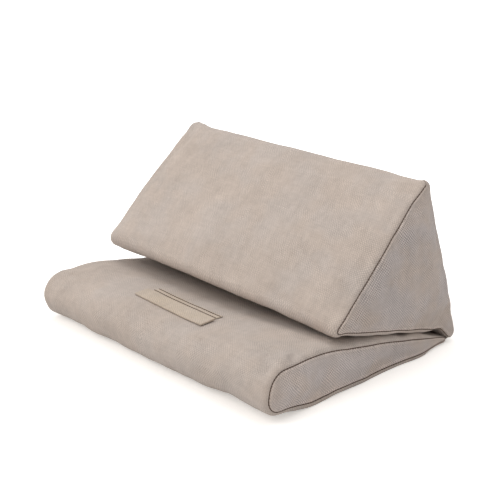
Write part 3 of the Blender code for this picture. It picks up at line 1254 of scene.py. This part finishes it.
@dataclass
class Stand:
    """The whole stand: two cushions, the ledge and the hinge."""

    toe_radius: float = 0.005
    toe_height: float = 0.0631
    tuck_radius: float = 0.0018
    ridge_radius: float = 0.006
    ridge_back: float = 0.0691
    gap: float = 0.0003            # between a solid panel and its strip
    crown: float = 0.002           # how much further nose and wedge stand out in the middle
    sunk: float = 0.0040           # how much lower the base's top is there
    dip: float = 0.0010            # and how much less the wedge's ridge stands out than its faces
    under: float = 0.0016          # room for the hinge between the cushions and the floor
    base_pulls: tuple[Pull, ...] = (
        Pull((0.165, -0.067, 0.004), 0.032, (0, 0, -0.0027)),
        Pull((0.125, -0.108, 0.006), 0.110, (0, 0.0006, 0.0012)),
        Pull((0.167, -0.060, 0.022), 0.026, (-0.0016, 0, 0)),
        Pull((0.167, 0.020, 0.016), 0.030, (-0.0012, 0, 0)),
        Pull((0.163, -0.113, 0.030), 0.012, (0, 0.0010, 0)),
        Pull((0.162, 0.072, 0.000), 0.032, (0.0028, 0, 0)),
    )
    wedge_pulls: tuple[Pull, ...] = (
        Pull((-0.1635, 0.080, 0.172), 0.105, (0.009, 0.0, 0.0)),
        Pull((0.110, 0.072, 0.172), 0.045, (0, 0, 0.0012)),
        Pull((0.166, 0.104, 0.030), 0.016, (-0.0030, 0, 0)),
        Pull((0.166, 0.117, 0.030), 0.012, (-0.0012, 0, 0)),
    )

    def __post_init__(self) -> None:
        """Make the finishes."""
        sand, grey = (0.480, 0.401, 0.346), (0.466, 0.400, 0.356)
        self.canvas = Canvas("washed_canvas", sand, grey).material()
        # painted shade: the base's strip gets the same canvas about 5 % darker, for less light on its top
        sand, grey = (0.456, 0.381, 0.329), (0.443, 0.380, 0.338)
        self.base_shaded_canvas = Canvas("washed_canvas_base_shaded", sand, grey).material()
        # painted shade: the end panels get the same canvas tinted greyer and bluer, with stronger painted
        # weave shade, for the shade on the ends
        sand, grey = (0.490, 0.408, 0.356), (0.466, 0.410, 0.388)
        self.panel_shade_canvas = Canvas("washed_canvas_side_shaded", sand, grey, wash=0.105, weave_shade=0.36).material()
        sand, grey = (0.484, 0.398, 0.312), (0.480, 0.399, 0.325)
        self.ledge_canvas = Canvas("washed_canvas_ledge", sand, grey, wash=0.03).material()
        # the same dark thread stitches the hinge and the ledge flap; at the end seams it is painted shade of
        # the grooves
        self.thread = Thread(Yarn("brown_thread_and_seam_shade", (0.085, 0.052, 0.036)).material())

    def base_sections(self) -> tuple[Section, Section]:
        """Give the base's left and right sections.

        Returns:
            Each has the lower nose, the tail, the wide crown and the upper nose.
        """
        tail = Corner(0.1105, 0.0064, 0.0014, 0.0015)
        right = Section((Corner(-0.1080, 0.0220, 0.0120, 0.0026), tail,
                         Corner(-0.0820, -0.2050, 0.2500), Corner(-0.1010, 0.0260, 0.0185)))
        left = Section((Corner(-0.1054, 0.0187, 0.0113, 0.0030), tail,
                        Corner(-0.0800, -0.1370, 0.1800), Corner(-0.1020, 0.0252, 0.0168)))
        return left, right

    def wedge_sections(self) -> tuple[Section, Section]:
        """Give the wedge's left and right sections.

        Returns:
            Each has the toe, the tuck over the hinge, the heel, the ridge and the shoulder before it.
        """
        low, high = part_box("wedge_gusset_right")
        toe = Corner(low.y - self.gap + self.toe_radius, self.toe_height, self.toe_radius)
        tuck = Corner(0.1040, 0.0170, -self.tuck_radius)
        heel = Corner(0.1200, 0.0106, 0.0050)
        ridge = Corner(self.ridge_back, high.z + self.gap - self.ridge_radius, self.ridge_radius)
        right = Section((toe.moved(-0.0022, -0.0042, -0.0022), tuck, heel,
                         ridge.moved(0.0048, -0.0012, -0.0020), Corner(0.0640, 0.1397, 0.0150, -0.0006)))
        toe, ridge = toe.moved(0.0042, 0.0044), ridge.moved(0.0060, 0.0060)
        left = Section((toe, tuck, heel, ridge, ridge.towards(toe, 0.15).moved(-0.0004, 0.0004)))
        return left, right

    def build(self) -> None:
        """Build every piece."""
        left, right = self.base_sections()
        tail = right.corners[1]
        base = Cushion("base", left, right, (Pinch(tail.y, tail.z, 0.045, below=0.9),),
                       crown=lambda normal: self.crown * max(0.0, -normal.x) - self.sunk * smooth(normal.y),
                       seam=lambda normal: 0.0003,
                       ground=lambda y: self.under * smooth((y - 0.080) / 0.008),
                       sag=0.55, canvas=self.base_shaded_canvas, panel_shade_canvas=self.panel_shade_canvas, thread=self.thread,
                       pulls=self.base_pulls)
        top = base.build("base_fill")
        left, right = self.wedge_sections()
        tuck = right.corners[1]
        wedge = Cushion("wedge", left, right, (Pinch(tuck.y, tuck.z, 0.028), Pinch(0.112, 0.008, 0.030)),
                        crown=lambda normal: (self.crown * min(1.0, 1.0 + normal.y)
                                              - self.dip * max(0.0, normal.y) ** 6),
                        seam=lambda normal: mixed(0.0003, 0.0095, smooth((normal.x + 0.25) / 0.7)),
                        ground=lambda y: self.under,
                        canvas=self.canvas, panel_shade_canvas=self.panel_shade_canvas, thread=self.thread,
                        pulls=self.wedge_pulls)
        wedge.build("wedge_foam")
        Hinge(base, wedge, self.canvas, self.thread).build()
        Ledge(top, self.ledge_canvas, self.thread).build()


@dataclass
class Studio:
    """A white floor, soft lamps, and a camera where the photographer stood."""

    eye: tuple[float, float, float] = (0.6660, -0.6055, 0.3854)
    azimuth: float = radians(47.1)
    elevation: float = radians(18.59)
    roll: float = radians(-0.79)
    focal_pixels: float = 985.0
    frame_pixels: float = 500.0
    sensor: float = 36.0

    def camera(self) -> None:
        """Place the camera."""
        data = bpy.data.cameras.new("camera")
        data.sensor_width = self.sensor
        data.lens = self.sensor * self.focal_pixels / self.frame_pixels
        data.clip_start, data.clip_end = 0.01, 50
        camera = bpy.data.objects.new("camera", data)
        bpy.context.scene.collection.objects.link(camera)
        camera.matrix_world = (Matrix.Translation(self.eye) @ Matrix.Rotation(self.azimuth, 4, "Z")
                               @ Matrix.Rotation(pi / 2 - self.elevation, 4, "X")
                               @ Matrix.Rotation(self.roll, 4, "Z"))
        bpy.context.scene.camera = camera

    def lamp(self, name: str, place: tuple[float, float, float], size: float, watts: float,
             colour: tuple[float, float, float]) -> None:
        """Hang a square soft lamp that faces the stand.

        Args:
            name: The lamp's name.
            place: Where it hangs.
            size: The length of its sides.
            watts: Its power.
            colour: The tint of its light.
        """
        data = bpy.data.lights.new(name, "AREA")
        data.shape, data.size, data.energy, data.color = "SQUARE", size, watts, colour
        lamp = bpy.data.objects.new(name, data)
        lamp.location = place
        aim = Vector((0, 0, 0.06)) - Vector(place)
        lamp.rotation_mode = "QUATERNION"
        lamp.rotation_quaternion = aim.to_track_quat("-Z", "Y")
        bpy.context.scene.collection.objects.link(lamp)

    def world(self) -> None:
        """Light the stand evenly, and show white to the camera."""
        world = bpy.data.worlds.new("studio")
        world.use_nodes = True
        bpy.context.scene.world = world
        nodes, links = world.node_tree.nodes, world.node_tree.links
        path = nodes.new("ShaderNodeLightPath")
        seen = nodes.new("ShaderNodeMath")
        seen.operation = "MAXIMUM"
        links.new(path.outputs["Is Camera Ray"], seen.inputs[0])
        links.new(path.outputs["Is Glossy Ray"], seen.inputs[1])
        also = nodes.new("ShaderNodeMath")
        also.operation = "MAXIMUM"
        links.new(seen.outputs[0], also.inputs[0])
        links.new(path.outputs["Is Transmission Ray"], also.inputs[1])
        strength = nodes.new("ShaderNodeMix")
        strength.data_type = "FLOAT"
        strength.inputs[2].default_value = 0.62
        strength.inputs[3].default_value = 1.0
        links.new(also.outputs[0], strength.inputs[0])
        background = nodes["Background"]
        background.inputs["Color"].default_value = (1, 1, 1, 1)
        links.new(strength.outputs[0], background.inputs["Strength"])

    def floor(self) -> None:
        """Lay the floor: white to the camera, more so away from the stand, so that its shadow shows; near the
        stand its glow is dim and warm, a painted tint of that shadow.
        """
        bpy.ops.object.select_all(action="DESELECT")
        bpy.ops.mesh.primitive_plane_add(size=8)
        floor = bpy.context.object
        floor.name = "floor"
        surface = Surface("white_floor", 1.0)
        surface.shader.inputs["Base Color"].default_value = (0.81, 0.80, 0.79, 1)
        surface.shader.inputs["Specular IOR Level"].default_value = 0.0
        surface.shader.inputs["Emission Strength"].default_value = 1.0
        path = surface.node("ShaderNodeLightPath", {}, {}, "Is Camera Ray")
        glossy = Signal(surface, path.socket.node.outputs["Is Glossy Ray"])
        through = Signal(surface, path.socket.node.outputs["Is Transmission Ray"])
        seen = path.larger(glossy).larger(through)
        place = surface.node("ShaderNodeTexCoord", {}, {}, "Object")
        length = {"operation": "LENGTH"}
        away = surface.node("ShaderNodeVectorMath", length, {0: place}, "Value").within(0.16, 0.45)
        # painted shadow tint: near the stand the glow is dim and warm, so the shadow there takes its warm
        # grey from it
        shadow_tint_glow = surface.blend(away, (0.44, 0.42, 0.397, 1), (0.95, 0.95, 0.95, 1))
        surface.feed("Emission Color", surface.tinted(shadow_tint_glow, seen))
        floor.data.materials.append(surface.material)

    def build(self) -> None:
        """Set the studio up."""
        self.camera()
        self.world()
        self.floor()
        self.lamp("key", (-0.8, -1.7, 1.7), 1.6, 26, (1.0, 0.985, 0.965))
        self.lamp("top", (0.2, 0.3, 2.2), 1.8, 16, (1.0, 1.0, 1.0))
        bpy.context.scene.view_settings.view_transform = "Standard"


def main() -> None:
    """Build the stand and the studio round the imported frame."""
    logging.basicConfig(level=logging.INFO, format="%(message)s")
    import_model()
    bpy.ops.object.select_all(action="DESELECT")
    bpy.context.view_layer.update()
    Studio().build()
    Stand().build()


if __name__ == "__main__":
    main()
